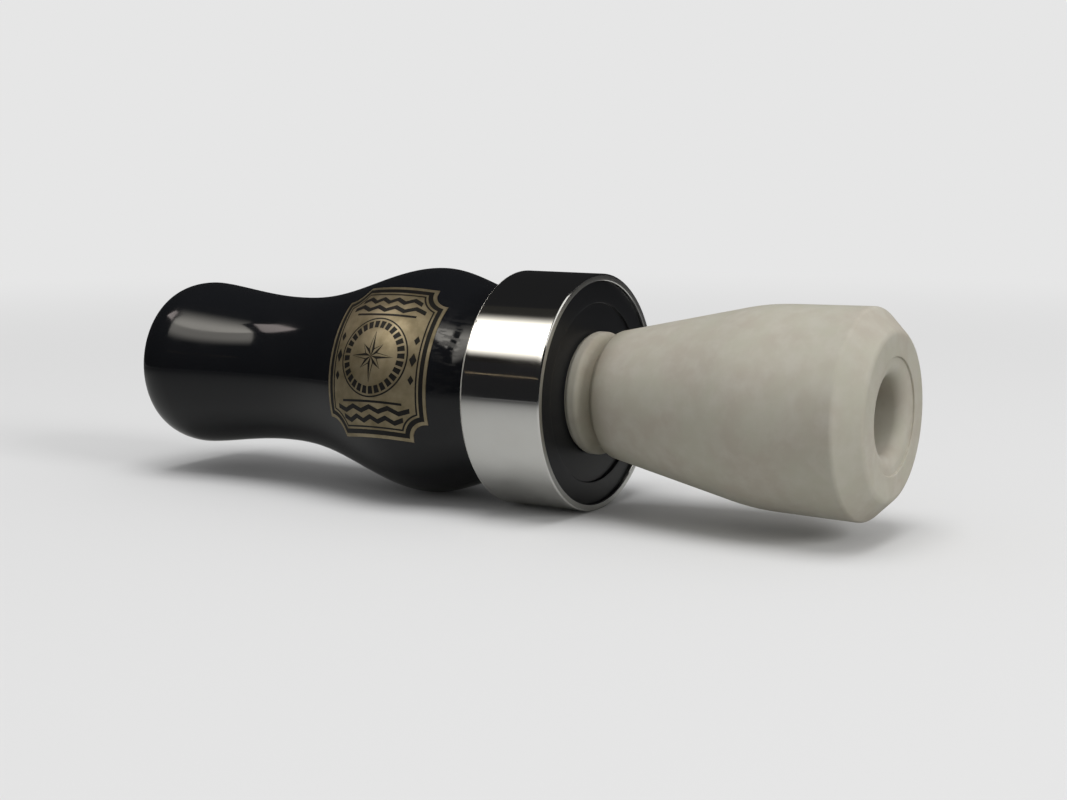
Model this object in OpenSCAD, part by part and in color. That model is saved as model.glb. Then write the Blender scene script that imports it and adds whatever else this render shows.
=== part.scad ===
// Mouth-blown bird call: a turned barrel with a metal band, and an insert that
// plugs into it and carries the reed. It lies on its side. X runs along the
// axis from the mouth to the exhaust, Z is up, and the origin is under the
// middle of the call, on the surface it lies on. Lengths are in millimetres.

/* [Barrel] */
// Length of the barrel, from its mouth to its end face
barrel_len = 72.1; // [66:0.1:90]
// Diameter of the flare at the mouth
mouth_d = 24.3; // [22:0.1:28]
// Diameter of the waist
waist_d = 21.2; // [18.5:0.1:24]
// How far the bulge lies below the band, all round
bulge_drop = 0.15; // [0:0.05:3]
// How far the flank's low point lies below the band, all round
neck_drop = 2.9; // [1.2:0.1:5]
// Distance from the mouth to the widest place of the flare
flare_at = 5.5; // [3:0.1:9]
// Distance from the mouth to the waist
waist_at = 21.5; // [12:0.1:30]
// Distance from the mouth to the bulge
bulge_at = 47; // [36:0.1:54]
// Length of the flank from the bulge to its low point
neck_run = 12; // [8:0.1:24]
// Bore through the barrel
bore_d = 15.88; // [15:0.01:16.8]
// Rounding where the bore opens at the mouth
mouth_round = 0.9; // [0.3:0.1:1.1]
// Width of the flat ring at the mouth, outside that rounding
mouth_flat = 0.56; // [0:0.01:1.5]
// Diameter of the shallow step in the end face
step_d = 24.2; // [18.5:0.1:28]
// Depth of the step
step_depth = 0.35; // [0.1:0.05:1]
// Chamfer where the bore opens at the end face
bore_chamfer = 0.1; // [0.05:0.05:0.15]

/* [Band] */
// Outside diameter of the band, the widest place of the call
band_d = 32; // [31.8:0.1:40]
// Length of the band
band_len = 12.1; // [6:0.1:18]
// Wall of the band
band_wall = 0.93; // [0.5:0.01:1.5]
// Chamfer on the band's outer edges
band_chamfer = 0.2; // [0.05:0.05:0.4]
// How far the band stands proud of the barrel's end face
face_recess = 0.45; // [0:0.05:2]

/* [Badge] */
// Length of the badge along the barrel
badge_len = 16.4; // [8:0.1:20]
// Width of the badge across the barrel
badge_w = 21; // [10:0.1:24]
// Radius of the scallops at the badge's corners
badge_scallop = 2.4; // [0.5:0.1:3.5]
// Thickness of the foil
badge_t = 0.1; // [0.05:0.01:0.3]
// How far the badge's middle lies from the bulge, towards the band
badge_shift = -1.2; // [-4:0.1:1]
// Turn of the badge about the axis, up from the near side
badge_turn = 18; // [-60:1:60]

/* [Insert] */
// How far the collar overlaps the barrel's end face, all round
collar_lap = 0.32; // [0.2:0.01:1.5]
// Length of the collar
collar_len = 1.6; // [1:0.1:5]
// Diameter at the bottom of the lanyard groove
groove_d = 14.7; // [13:0.1:15.8]
// Width of the flat at the bottom of the lanyard groove
groove_flat = 0.65; // [0.45:0.05:3]
// Run of each sloped side of the lanyard groove
groove_slope = 1; // [0.4:0.05:2]
// Diameter at the small end of the cone
cone_d = 17.1; // [16.2:0.1:22]
// Length of the cone
cone_len = 20.9; // [10:0.1:30]
// Diameter at the large end of the cone
shoulder_d = 26.3; // [22:0.1:31]
// Length of the belly between the cone and the chamfer
belly_len = 14; // [4:0.1:20]
// Diameter where the belly meets the chamfer
belly_d = 26.9; // [23:0.1:31]
// Length of the chamfer at the exhaust end
chamfer_len = 3; // [1:0.1:6]
// Diameter of the flat exhaust end
end_d = 21.1; // [18:0.1:24]
// Diameter of the shallow recess in the exhaust end
recess_d = 14.8; // [13.6:0.1:17]
// Depth of the shallow recess
recess_h = 0.3; // [0.1:0.05:1]
// Diameter of the exhaust bore
exhaust_d = 9.8; // [8:0.1:10.6]
// Rounding of the exhaust bore's lip
lip_round = 1.7; // [0.3:0.1:1.9]
// Length of the exhaust bore, from its lip to the flare inside
exhaust_len = 23; // [10:0.1:26]
// Length of the flare from the throat to the exhaust bore
flare_len = 6; // [2:0.1:10]
// Diameter of the throat behind the gut tube
throat_d = 6.2; // [4:0.1:7.6]
// Length of the tenon that goes into the barrel
tenon_len = 20.4; // [18:0.1:26]
// Bore for the gut tube
gut_bore_d = 9.52; // [8.8:0.01:10.2]
// How far the gut tube's bore runs on past the collar's seat
gut_bore_past = 5; // [2:0.1:9]

/* [O-rings] */
// Thickness of an O-ring as it sits, squeezed between groove and bore
ring_section = 1.62; // [1:0.01:1.9]
// Distance from the collar's seat to the front O-ring
ring_front_at = 5; // [3:0.1:7]
// Distance from the front O-ring to the rear one
ring_pitch = 9; // [4:0.1:10]
// Spare width of an O-ring's groove
ring_play = 0.4; // [0.1:0.05:1]

/* [Gut tube] */
// Length of the gut tube
gut_len = 50; // [44:0.1:56]
// Bore of the gut tube's closed part
gut_hole_d = 6; // [4:0.1:6.6]
// Height of the deck above the axis
deck_h = 0.9; // [0:0.1:1.4]
// Length of the deck that goes into the insert
deck_in = 9; // [4:0.1:14]
// Width of the sound channel
channel_w = 4.6; // [2:0.1:5]
// Depth of the sound channel
channel_depth = 3.4; // [2.6:0.1:3.8]
// Solid length of deck in front of the sound channel
channel_tip = 5; // [2:0.1:10]
// How far the deck falls away from the reed at its tip
deck_drop = 1.1; // [0.3:0.1:2]

/* [Reed and wedge] */
// Length of the reed
reed_len = 33; // [26:0.1:34]
// Width of the reed
reed_w = 8.4; // [5.4:0.1:8.6]
// Thickness of the reed
reed_t = 0.3; // [0.15:0.01:0.5]
// How far the wedge stands out of the insert
wedge_out = 3; // [1:0.1:6]
// Length of the slope at the wedge's nose
nose_len = 2.2; // [0.5:0.1:4]
// Height of the wedge's nose above the reed
nose_h = 0.8; // [0.3:0.1:1.5]

/* [Fits] */
// Gap between the collar and the seat on the barrel
seat_gap = 0.05; // [0.02:0.01:0.2]
// Radial clearance of the tenon in the barrel's bore
tenon_clear = 0.08; // [0.02:0.01:0.1]
// Radial clearance of an O-ring, inside and outside
ring_clear = 0.03; // [0.01:0.01:0.06]
// Radial clearance of the gut tube in the insert
gut_clear = 0.04; // [0.01:0.01:0.1]
// Gap under and over the reed, and behind it
reed_gap = 0.03; // [0.01:0.01:0.1]

/* [Hidden] */

// Overrun of every cut past the face it leaves
over = 1;
// Facets of a full turn, and steps of one stretch of an outline
$fn = 96;
stretch_steps = 12;
round_steps = 5;

// Skews of the two long curves: under 1 the curve falls early, over 1 late
flare_skew_share = 0.78;
swell_skew_share = 1.25;

// Radii of the rounded edges of the insert
collar_round = 0.9;
groove_round = 0.5;
cone_round = 1.1;
shoulder_round = 30;
belly_round = 1.8;
end_round = 1.3;
recess_round = 0.12;
tenon_round = 0.5;

// Radii that the diameters give
bore_r = bore_d / 2;
band_r = band_d / 2;
seat_r = band_r - band_wall;
mouth_r = mouth_d / 2;
mouth_face_r = bore_r + mouth_round + mouth_flat;
waist_r = waist_d / 2;
bulge_r = band_r - bulge_drop;
neck_r = band_r - neck_drop;
step_r = step_d / 2;
tenon_r = bore_r - tenon_clear;
collar_r = bore_r + collar_lap;
ring_floor_r = bore_r - ring_section - 2 * ring_clear;
gut_bore_r = gut_bore_d / 2;
gut_r = gut_bore_r - gut_clear;
throat_r = throat_d / 2;
exhaust_r = exhaust_d / 2;

// Places along the axis, from the band's front rim
face_x = -face_recess;
step_x = face_x - step_depth;
mouth_x = face_x - barrel_len;
waist_x = mouth_x + waist_at;
bulge_x = mouth_x + bulge_at;
seat_x = step_x + seat_gap;
tenon_x = seat_x - tenon_len;
collar_x = seat_x + collar_len;
cone_x = collar_x + 2 * groove_slope + groove_flat;
shoulder_x = cone_x + cone_len;
belly_x = shoulder_x + belly_len;
end_x = belly_x + chamfer_len;
recess_x = end_x - recess_h;
exhaust_x = recess_x - exhaust_len;
throat_x = exhaust_x - flare_len;
gut_stop_x = seat_x + gut_bore_past;
gut_x = gut_stop_x - reed_gap;
tip_x = gut_x - gut_len;
deck_x = tenon_x + deck_in;
reed_x = deck_x - reed_gap;
reed_tip_x = reed_x - reed_len;
wedge_x = tenon_x - wedge_out;
channel_x = tip_x + channel_tip;
badge_x = bulge_x + badge_shift;

// Heights above the axis in the gut tube
reed_z = deck_h + reed_gap;
wedge_z = reed_z + reed_t + reed_gap;
channel_z = deck_h - channel_depth + channel_w / 2;

// Shift that puts the origin under the middle of the call
middle_x = (mouth_x + end_x) / 2;

// Smooth step from 0 to 1 with level ends
function ease(t) = t * t * (3 - 2 * t);
function between(a, b, t) = a + (b - a) * t;

// Points [radius, place] of a turned curve that is level at both ends
function swell(x0, r0, x1, r1, skew) = [
    for (i = [1 : stretch_steps])
        let (t = i / stretch_steps)
        [between(r0, r1, ease(pow(t, skew))), between(x0, x1, t)]
];

// Points of the flank behind the band, which the band's rear face cuts short
function flank(from_x, to_x) = [
    for (i = [1 : stretch_steps])
        let (x = between(from_x, to_x, i / stretch_steps))
        [between(bulge_r, neck_r, ease(min(1, (x - from_x) / neck_run))), x]
];

// Points of a quarter of an ellipse, from the mouth's flat ring to its flare
function mouth_lip() = [
    for (i = [0 : stretch_steps])
        let (a = 90 * i / stretch_steps)
        [between(mouth_face_r, mouth_r, sin(a)), mouth_x + flare_at * (1 - cos(a))]
];

// Outside of the barrel from its mouth to the band's rear face
function barrel_skin() = concat(
    mouth_lip(),
    swell(mouth_x + flare_at, mouth_r, waist_x, waist_r, flare_skew_share),
    swell(waist_x, waist_r, bulge_x, bulge_r, swell_skew_share),
    flank(bulge_x, -band_len)
);

// A corner [radius, place, rounding] becomes an arc between its two sides
function spin(v, a) = [v.x * cos(a) - v.y * sin(a), v.x * sin(a) + v.y * cos(a)];
function flat(p) = [p.x, p.y];
function corner(before, here, after) =
    here.z == 0 ? [flat(here)] :
    let (
        u = (flat(before) - flat(here)) / norm(flat(before) - flat(here)),
        w = (flat(after) - flat(here)) / norm(flat(after) - flat(here)),
        half = acos(u * w) / 2,
        middle = flat(here) + (u + w) / norm(u + w) * here.z / sin(half),
        first = flat(here) + u * here.z / tan(half) - middle,
        way = u.x * w.y - u.y * w.x > 0 ? -1 : 1
    )
    [for (i = [0 : round_steps]) middle + spin(first, way * (180 - 2 * half) * i / round_steps)];
function rounded(corners) = [
    for (i = [0 : len(corners) - 1])
        each corner(
            corners[(i + len(corners) - 1) % len(corners)],
            corners[i],
            corners[(i + 1) % len(corners)]
        )
];

// Outline of one O-ring groove, cut into the tenon about the place x
ring_groove_w = ring_section + ring_play;
function ring_groove(x) = [
    [tenon_r, x - ring_groove_w / 2, 0],
    [ring_floor_r, x - ring_groove_w / 2, 0],
    [ring_floor_r, x + ring_groove_w / 2, 0],
    [tenon_r, x + ring_groove_w / 2, 0],
];
ring_front_x = seat_x - ring_front_at;
ring_rear_x = ring_front_x - ring_pitch;

// Puts a piece that is built along the X axis into the frame of the call
module in_frame() {
    translate([-middle_x, 0, band_r]) children();
}

// Turns an outline of [radius, place] points about the X axis
module turned(points) {
    rotate([0, 90, 0]) rotate_extrude() polygon(points);
}

// Round bar about the X axis between two places
module bar(r, x0, x1) {
    translate([x0, 0, 0]) rotate([0, 90, 0]) cylinder(r = r, h = x1 - x0);
}

// Barrel: turned, with the seat for the band and the step in its face
module barrel() {
    mouth_bore = [
        for (i = [0 : round_steps])
            let (a = 90 * i / round_steps)
            [bore_r + mouth_round * (1 - sin(a)), mouth_x + mouth_round * (1 - cos(a))]
    ];
    color([0.04, 0.04, 0.045]) in_frame() turned(concat(
        barrel_skin(),
        [
            [seat_r, -band_len],
            [seat_r, face_x],
            [step_r, face_x],
            [step_r, step_x],
            [bore_r + bore_chamfer, step_x],
            [bore_r, step_x - bore_chamfer],
        ],
        [for (i = [round_steps : -1 : 0]) mouth_bore[i]]
    ));
}

// Band: a plain ring with its outer edges broken
module band() {
    color([0.72, 0.73, 0.74]) in_frame() turned([
        [seat_r, -band_len],
        [band_r - band_chamfer, -band_len],
        [band_r, -band_len + band_chamfer],
        [band_r, -band_chamfer],
        [band_r - band_chamfer, 0],
        [seat_r, 0],
    ]);
}

// Outline of the badge, seen square on
module badge_outline() {
    difference() {
        square([badge_len, badge_w], center = true);
        for (side = [-1, 1], end = [-1, 1])
            translate([side * badge_len / 2, end * badge_w / 2])
                circle(r = badge_scallop, $fn = 32);
    }
}

// Badge: a foil that lies on the barrel's own outline, cut to the badge's outline
module badge() {
    skin = [for (p = barrel_skin()) if (p.y > waist_x) p];
    color([0.60, 0.51, 0.36]) in_frame() intersection() {
        turned(concat(
            skin,
            [for (i = [len(skin) - 1 : -1 : 0]) [skin[i].x + badge_t, skin[i].y]]
        ));
        translate([badge_x, 0, 0]) rotate([90 - badge_turn, 0, 0])
            linear_extrude(height = bulge_r + badge_t + over) badge_outline();
    }
}

// One O-ring as it sits in the groove at the place x
module o_ring(x) {
    color([0.05, 0.05, 0.05]) in_frame() translate([x, 0, 0]) rotate([0, 90, 0])
        rotate_extrude() translate([ring_floor_r + ring_clear + ring_section / 2, 0])
            circle(d = ring_section, $fn = 48);
}

module o_ring_front() {
    o_ring(ring_front_x);
}

module o_ring_rear() {
    o_ring(ring_rear_x);
}

// Insert: tenon, collar, lanyard groove, cone, belly and the exhaust's bores
module insert() {
    color([0.72, 0.69, 0.62]) in_frame() turned(rounded(concat(
        [
            [gut_bore_r, tenon_x, 0],
            [tenon_r, tenon_x, tenon_round],
        ],
        ring_groove(ring_rear_x),
        ring_groove(ring_front_x),
        [
            [tenon_r, seat_x, 0],
            [collar_r, seat_x, 0],
            [collar_r, collar_x, collar_round],
            [groove_d / 2, collar_x + groove_slope, groove_round],
            [groove_d / 2, cone_x - groove_slope, groove_round],
            [cone_d / 2, cone_x, cone_round],
            [shoulder_d / 2, shoulder_x, shoulder_round],
            [belly_d / 2, belly_x, belly_round],
            [end_d / 2, end_x, end_round],
            [recess_d / 2, end_x, recess_round],
            [recess_d / 2, recess_x, 0],
            [exhaust_r, recess_x, lip_round],
            [exhaust_r, exhaust_x, 0],
            [throat_r, throat_x, 0],
            [throat_r, gut_stop_x, 0],
            [gut_bore_r, gut_stop_x, 0],
        ]
    )));
}

// Gut tube: closed at its rear, cut down to a deck with a sound channel in front
module gut_tube() {
    curve_len = wedge_x - tip_x;
    curve_r = (curve_len * curve_len + deck_drop * deck_drop) / (2 * deck_drop);
    channel_r = channel_w / 2;
    bar_from = channel_x + channel_r;
    color([0.90, 0.90, 0.88]) in_frame() difference() {
        bar(gut_r, tip_x, gut_x);
        bar(gut_hole_d / 2, deck_x - over, gut_x + over);
        translate([tip_x - over, -gut_r, deck_h])
            cube([deck_x - tip_x + over, 2 * gut_r, gut_r]);
        translate([0, 0, channel_z]) {
            bar(channel_r, bar_from, deck_x);
            translate([bar_from, 0, 0]) sphere(r = channel_r, $fn = 48);
            translate([bar_from, -channel_r, 0])
                cube([deck_x - bar_from, channel_w, gut_r]);
            translate([bar_from, 0, 0]) cylinder(r = channel_r, h = gut_r);
        }
        difference() {
            translate([tip_x - over, -gut_r, deck_h - 2 * deck_drop])
                cube([curve_len + over, 2 * gut_r, 2 * deck_drop]);
            translate([wedge_x, gut_r + over, deck_h - curve_r]) rotate([90, 0, 0])
                cylinder(r = curve_r, h = 2 * (gut_r + over), $fn = 360);
        }
        difference() {
            translate([tip_x - over, -gut_r, -gut_r]) cube([gut_r + over, 2 * gut_r, 2 * gut_r]);
            translate([tip_x + gut_r, 0, -gut_r]) cylinder(r = gut_r, h = 2 * gut_r);
        }
    }
}

// Reed: a flat blade with a round tip
module reed() {
    color([0.93, 0.93, 0.86]) in_frame() translate([0, 0, reed_z])
        linear_extrude(height = reed_t) {
            translate([reed_tip_x + reed_w / 2, -reed_w / 2])
                square([reed_len - reed_w / 2, reed_w]);
            translate([reed_tip_x + reed_w / 2, 0]) circle(d = reed_w);
        }
}

// Wedge: a half-round block with a sloped nose, on top of the reed's tail
module wedge() {
    color([0.80, 0.80, 0.78]) in_frame() intersection() {
        bar(gut_r, wedge_x, reed_x);
        translate([0, gut_r, 0]) rotate([90, 0, 0]) linear_extrude(height = 2 * gut_r) polygon([
            [wedge_x, wedge_z],
            [reed_x, wedge_z],
            [reed_x, gut_r],
            [wedge_x + nose_len, gut_r],
            [wedge_x, wedge_z + nose_h],
        ]);
    }
}

barrel();
band();
badge();
o_ring_front();
o_ring_rear();
insert();
gut_tube();
reed();
wedge();
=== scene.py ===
"""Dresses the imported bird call: a turned barrel with its band and badge, and an insert with its reed works.

The call lies on its side. Places along the axis are given in millimetres from the band's front rim, towards
the exhaust, as on the lathe drawing, and Axis turns them into points of the frame.
"""

import logging
import math
from dataclasses import dataclass, field
from enum import Enum

import bmesh
import bpy
from mathutils import Matrix, Vector


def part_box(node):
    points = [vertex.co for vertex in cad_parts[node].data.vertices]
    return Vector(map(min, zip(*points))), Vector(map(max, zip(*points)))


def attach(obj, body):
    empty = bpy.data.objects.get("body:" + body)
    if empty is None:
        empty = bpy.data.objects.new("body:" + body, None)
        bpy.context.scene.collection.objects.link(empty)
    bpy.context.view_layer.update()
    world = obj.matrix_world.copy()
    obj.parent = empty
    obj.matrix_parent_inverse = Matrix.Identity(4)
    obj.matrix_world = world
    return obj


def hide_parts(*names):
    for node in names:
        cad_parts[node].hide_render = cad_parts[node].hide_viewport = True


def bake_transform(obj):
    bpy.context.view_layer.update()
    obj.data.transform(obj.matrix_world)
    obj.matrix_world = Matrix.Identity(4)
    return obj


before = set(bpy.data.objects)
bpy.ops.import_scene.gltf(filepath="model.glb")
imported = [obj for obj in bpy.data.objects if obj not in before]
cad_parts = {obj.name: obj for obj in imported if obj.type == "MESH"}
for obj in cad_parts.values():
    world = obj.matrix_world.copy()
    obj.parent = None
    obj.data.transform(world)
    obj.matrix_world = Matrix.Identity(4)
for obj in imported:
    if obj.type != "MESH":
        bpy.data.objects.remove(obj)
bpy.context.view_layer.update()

LOG = logging.getLogger("bird_call")
MM = 0.001
WHITE = "#ffffff"
WARM_WHITE = "#fffaf0"
QUAD = 4

Outline = list[tuple[float, float]]
Corner = tuple[float, float, float]
Span = tuple[float, float]
Way = tuple[float, float, float]
Grid = list[list[Vector]]
Piece = bpy.types.Object
Material = bpy.types.Material
Tree = bpy.types.NodeTree
Node = bpy.types.Node
Socket = bpy.types.NodeSocket
Input = float | tuple[float, ...] | Socket


def linear(code: str) -> tuple[float, float, float, float]:
    """Turns an sRGB hex colour into the linear colour that a shader wants.

    Args:
        code: Six hex digits with a leading hash.

    Returns:
        Red, green, blue and an alpha of 1.
    """
    parts = [int(code[i : i + 2], 16) / 255 for i in (1, 3, 5)]
    red, green, blue = (p / 12.92 if p <= 0.04045 else ((p + 0.055) / 1.055) ** 2.4 for p in parts)
    return red, green, blue, 1.0


def per_metre(size_mm: float) -> float:
    """Gives the texture scale at which a pattern repeats every size_mm millimetres."""
    return 1 / (size_mm * MM)


def plug(tree: Tree, node: Node, inputs: dict[str | int, Input]) -> None:
    """Links the inputs of a node that are given a socket, and sets those that are given a value.

    Args:
        tree: Node tree that the node is in.
        node: The node.
        inputs: Sockets and values, by the input's name or index.
    """
    for name, given in inputs.items():
        if isinstance(given, Socket):
            tree.links.new(given, node.inputs[name])
        else:
            node.inputs[name].default_value = given


def add_node(
    tree: Tree,
    kind: str,
    inputs: dict[str | int, Input] | None = None,
    settings: dict[str, str | bool] | None = None,
) -> Node:
    """Adds a node with its settings and its links.

    Args:
        tree: Node tree of a material or the world.
        kind: Node type, such as ShaderNodeBump.
        inputs: Sockets to link and values to set, by the input's name or index.
        settings: Properties of the node, which come before its inputs.

    Returns:
        The new node.
    """
    node = tree.nodes.new(kind)
    for name, value in (settings or {}).items():
        setattr(node, name, value)
    plug(tree, node, inputs or {})
    return node


class Grain(Enum):
    """Which way a finish runs on a turned piece, as a stretch of its texture space along x, y and z."""

    EVEN = (1.0, 1.0, 1.0)
    ROUND = (1.0, 0.04, 0.04)
    ALONG = (0.12, 1.0, 1.0)


class Ramp(Enum):
    """How a value goes from one level to another."""

    LINEAR = "LINEAR"
    SMOOTH = "SMOOTHSTEP"


@dataclass(frozen=True)
class Pattern:
    """Uneven patches of a real size, in the piece's own space, which a finish varies in."""

    size_mm: float
    grain: Grain = Grain.EVEN
    detail: float = 3.0
    # Weight of each finer layer beside the one before it
    layering: float = 0.55
    # Values of the noise between which a level changes
    limits: Span = (0.3, 0.7)

    def noise(self, tree: Tree) -> Socket:
        """Lays the patches over the piece.

        Args:
            tree: Node tree of the material.

        Returns:
            The noise's value, around a half.
        """
        place = add_node(tree, "ShaderNodeTexCoord")
        stretched = add_node(
            tree, "ShaderNodeMapping", {"Vector": place.outputs["Object"], "Scale": self.grain.value}
        )
        texture = add_node(
            tree,
            "ShaderNodeTexNoise",
            {
                "Vector": stretched.outputs["Vector"],
                "Scale": per_metre(self.size_mm),
                "Detail": self.detail,
                "Roughness": self.layering,
            },
        )
        return texture.outputs["Fac"]

    def level(self, tree: Tree, low: Input, high: Input, limits: Span | None = None) -> Socket:
        """Takes a value from one level to another in the patches.

        Args:
            tree: Node tree of the material.
            low: Level where the noise is under the first limit.
            high: Level where the noise is over the second limit.
            limits: The two limits, where they aren't the pattern's own.

        Returns:
            The level.
        """
        start, stop = limits or self.limits
        node = add_node(
            tree,
            "ShaderNodeMapRange",
            {"Value": self.noise(tree), "From Min": start, "From Max": stop, "To Min": low, "To Max": high},
        )
        return node.outputs["Result"]

    def tint(
        self, tree: Tree, first: Input, second: Input, limits: Span = (0.0, 1.0), most: float = 1.0
    ) -> Socket:
        """Mixes a second colour into a first one in the patches.

        Args:
            tree: Node tree of the material.
            first: Linear colour where the noise is under the first limit.
            second: Linear colour where the noise is over the second limit.
            limits: The two limits.
            most: Greatest share of the second colour.

        Returns:
            The mixed colour.
        """
        node = add_node(
            tree,
            "ShaderNodeMix",
            {"Factor": self.level(tree, 0.0, most, limits), "A": first, "B": second},
            {"data_type": "RGBA"},
        )
        return node.outputs["Result"]

    def relief(self, tree: Tree, depth_mm: float, below: Socket | None = None) -> Socket:
        """Raises the patches by a real depth.

        Args:
            tree: Node tree of the material.
            depth_mm: Depth between the noise's values 0 and 1.
            below: Normal of a coarser relief that this one lies on.

        Returns:
            The normal.
        """
        inputs = {"Height": self.noise(tree), "Strength": 1.0, "Distance": depth_mm * MM}
        if below is not None:
            inputs["Normal"] = below
        return add_node(tree, "ShaderNodeBump", inputs).outputs["Normal"]


def change(
    tree: Tree,
    low: Input,
    high: Input,
    start: float,
    stop: float,
    way: Way | None = (1.0, 0.0, 0.0),
    ramp: Ramp = Ramp.SMOOTH,
) -> Socket:
    """Takes a value from one level to another between two places, in the piece's own space.

    Args:
        tree: Node tree of the material.
        low: Level before the first place.
        high: Level past the second place.
        start: First place, in metres.
        stop: Second place, in metres.
        way: Direction that places are measured in, or None for their distance from the origin.
        ramp: How the value goes from one level to the other.

    Returns:
        The level.
    """
    place = add_node(tree, "ShaderNodeTexCoord")
    reach = add_node(
        tree,
        "ShaderNodeVectorMath",
        {0: place.outputs["Object"], 1: way or (0.0, 0.0, 0.0)},
        {"operation": "DOT_PRODUCT" if way else "LENGTH"},
    )
    node = add_node(
        tree,
        "ShaderNodeMapRange",
        {"Value": reach.outputs["Value"], "From Min": start, "From Max": stop, "To Min": low, "To Max": high},
        {"interpolation_type": ramp.value},
    )
    return node.outputs["Result"]


class Surface:
    """A material in the making, with one principled shader."""

    def __init__(self, name: str, inputs: dict[str, Input]) -> None:
        """Starts the material.

        Args:
            name: Name of the material.
            inputs: Constant values of the shader's sockets, by name.
        """
        self.material = bpy.data.materials.new(name)
        self.material.use_nodes = True
        self.tree = self.material.node_tree
        self.shader = self.tree.nodes["Principled BSDF"]
        plug(self.tree, self.shader, inputs)

    def cover(self, colour: Socket, levels: list[Socket], normal: Socket | None = None) -> Material:
        """Gives the shader its colour, its roughness and its relief.

        Args:
            colour: The colour.
            levels: Levels of roughness, of which the greatest holds at each place.
            normal: Normal of the relief, if it has one.

        Returns:
            The finished material.
        """
        rough = levels[0]
        for level in levels[1:]:
            greater = add_node(self.tree, "ShaderNodeMath", {0: rough, 1: level}, {"operation": "MAXIMUM"})
            rough = greater.outputs["Value"]
        plug(self.tree, self.shader, {"Base Color": colour, "Roughness": rough})
        if normal is not None:
            plug(self.tree, self.shader, {"Normal": normal})
        return self.material


@dataclass(frozen=True)
class BlackAcrylic:
    """Cast acrylic, turned and buffed: a deep black under a hard gloss, with faint rings and handling haze.

    The end face is left as turned, so it is satin, and the flank beside the band has sanding scratches in
    its gloss.
    """

    rim_x: float
    colour: str = "#131417"
    colour_worn: str = "#18191b"
    ior: float = 1.49
    shine: float = 0.38
    gloss: Span = (0.07, 0.14)
    smudge: Pattern = Pattern(7.0, limits=(0.45, 0.75))
    scratched: float = 0.24
    scratch: Pattern = Pattern(0.7, Grain.ALONG, limits=(0.46, 0.55))
    scratch_from_mm: float = 24.0
    scratch_full_mm: float = 19.0
    turned: float = 0.34
    turned_from_mm: float = 3.0
    turned_full_mm: float = 2.0
    # Real buffing lines are a few hundredths apart: these are drawn coarser so that they show
    buffing: Pattern = Pattern(0.35, Grain.ROUND)
    buff_depth_mm: float = 0.0006
    wave: Pattern = Pattern(6.0, detail=1.0)
    wave_depth_mm: float = 0.004

    def build(self) -> Material:
        """Builds the material.

        Returns:
            The material.
        """
        skin = Surface(
            "buffed_black_acrylic", {"IOR": self.ior, "Metallic": 0.0, "Specular IOR Level": self.shine}
        )
        tree = skin.tree
        scratch_from, scratch_full, turned_from, turned_full = (
            self.rim_x - mm * MM
            for mm in (self.scratch_from_mm, self.scratch_full_mm, self.turned_from_mm, self.turned_full_mm)
        )
        flank = change(tree, 0.0, self.scratched, scratch_from, scratch_full)
        levels = [
            self.smudge.level(tree, *self.gloss),
            self.scratch.level(tree, 0.0, flank),
            change(tree, 0.0, self.turned, turned_from, turned_full, ramp=Ramp.LINEAR),
        ]
        colour = self.smudge.tint(tree, linear(self.colour), linear(self.colour_worn))
        wave = self.wave.relief(tree, self.wave_depth_mm)
        return skin.cover(colour, levels, self.buffing.relief(tree, self.buff_depth_mm, wave))


@dataclass(frozen=True)
class PolishedAluminium:
    """Turned and polished aluminium: clear bands of reflection with fine lathe rings and some dull patches.

    The front rim is left as faced off, so it is satin beside the bright lines of its chamfers. The rear
    edge is filed by hand and dull, so it shows as a thin pale line between the black barrel and the dark
    bands of reflection.
    """

    rim_x: float
    length_mm: float
    colour: str = "#e0e0de"
    colour_dull: str = "#d6d5d1"
    polish: Span = (0.06, 0.13)
    patch: Pattern = Pattern(5.0, limits=(0.4, 0.8))
    faced: float = 0.38
    faced_mm: float = 0.1
    filed: float = 0.7
    filed_mm: float = 0.33
    # Real lathe rings are about a tenth apart: these are drawn coarser so that they show
    rings: Pattern = Pattern(0.3, Grain.ROUND)
    ring_depth_mm: float = 0.0005

    def build(self) -> Material:
        """Builds the material.

        Returns:
            The material.
        """
        skin = Surface("polished_aluminium", {"Metallic": 1.0})
        tree = skin.tree
        edge = self.faced_mm * MM
        filed_to = self.rim_x - (self.length_mm - self.filed_mm) * MM
        levels = [
            self.patch.level(tree, *self.polish),
            change(tree, 0.0, self.faced, self.rim_x - edge, self.rim_x, ramp=Ramp.LINEAR),
            change(tree, self.filed, 0.0, filed_to, filed_to + edge, ramp=Ramp.LINEAR),
        ]
        colour = self.patch.tint(tree, linear(self.colour), linear(self.colour_dull))
        return skin.cover(colour, levels, self.rings.relief(tree, self.ring_depth_mm))


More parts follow.
